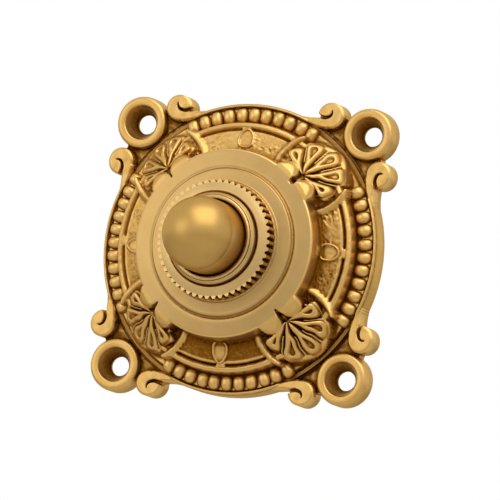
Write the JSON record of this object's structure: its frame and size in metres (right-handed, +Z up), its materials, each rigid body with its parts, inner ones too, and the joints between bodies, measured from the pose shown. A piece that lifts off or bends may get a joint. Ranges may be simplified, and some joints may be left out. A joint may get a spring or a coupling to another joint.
{
  "type": "doorbell push button",
  "caption": "Square cast brass bell push with beaded rim, shells and scrolled screw lugs, a milled ring and a domed press.",
  "frame": {"origin": "on the wall plane, at the middle of the four fixing screw holes, on the axis of the press", "axes": "+Z up, +X right as seen from the front, -Y out of the wall towards whoever rings; the back lies in y = 0"},
  "size_m": [0.067, 0.035, 0.067],
  "materials": {
    "cast_brass": "cast, antiqued and hand polished",
    "turned_brass": "turned and satin polished",
    "brass_fittings": "turned and stamped",
    "phosphor_bronze": "rolled strip",
    "spring_steel": "drawn wire",
    "silver_contact": "silver rivet",
    "insulating_block": "moulded phenolic",
    "insulating_tip": "turned vulcanised fibre"
  },
  "bodies": {
    "housing": {"escutcheon": "cast_brass", "barrel": "turned_brass", "knurled_ring": "turned_brass", "spring_seat": "turned_brass", "barrel_washer": "brass_fittings", "fixed_contact": "brass_fittings", "contact_rivet_left": "brass_fittings", "contact_rivet_right": "brass_fittings", "terminal_screw_left": "brass_fittings", "terminal_screw_right": "brass_fittings", "terminal_washer_left": "brass_fittings", "terminal_washer_right": "brass_fittings", "terminal_nut_left": "brass_fittings", "terminal_nut_right": "brass_fittings", "base_screw_lower": "brass_fittings", "base_screw_upper": "brass_fittings", "moving_contact": "phosphor_bronze", "return_spring": "spring_steel", "contact_point": "silver_contact", "contact_base": "insulating_block"},
    "button": {"push_button": "turned_brass", "button_stem": "turned_brass", "stem_tip": "insulating_tip"}
  },
  "joints": [
    {"name": "button_press", "type": "slide", "parent": "housing", "child": "button", "axis": [0, 1, 0], "range_m": [0, 0.0024], "stiffness_N_per_m": 920, "springref_m": -0.0022, "deforming": ["return_spring", "moving_contact"]}
  ]
}
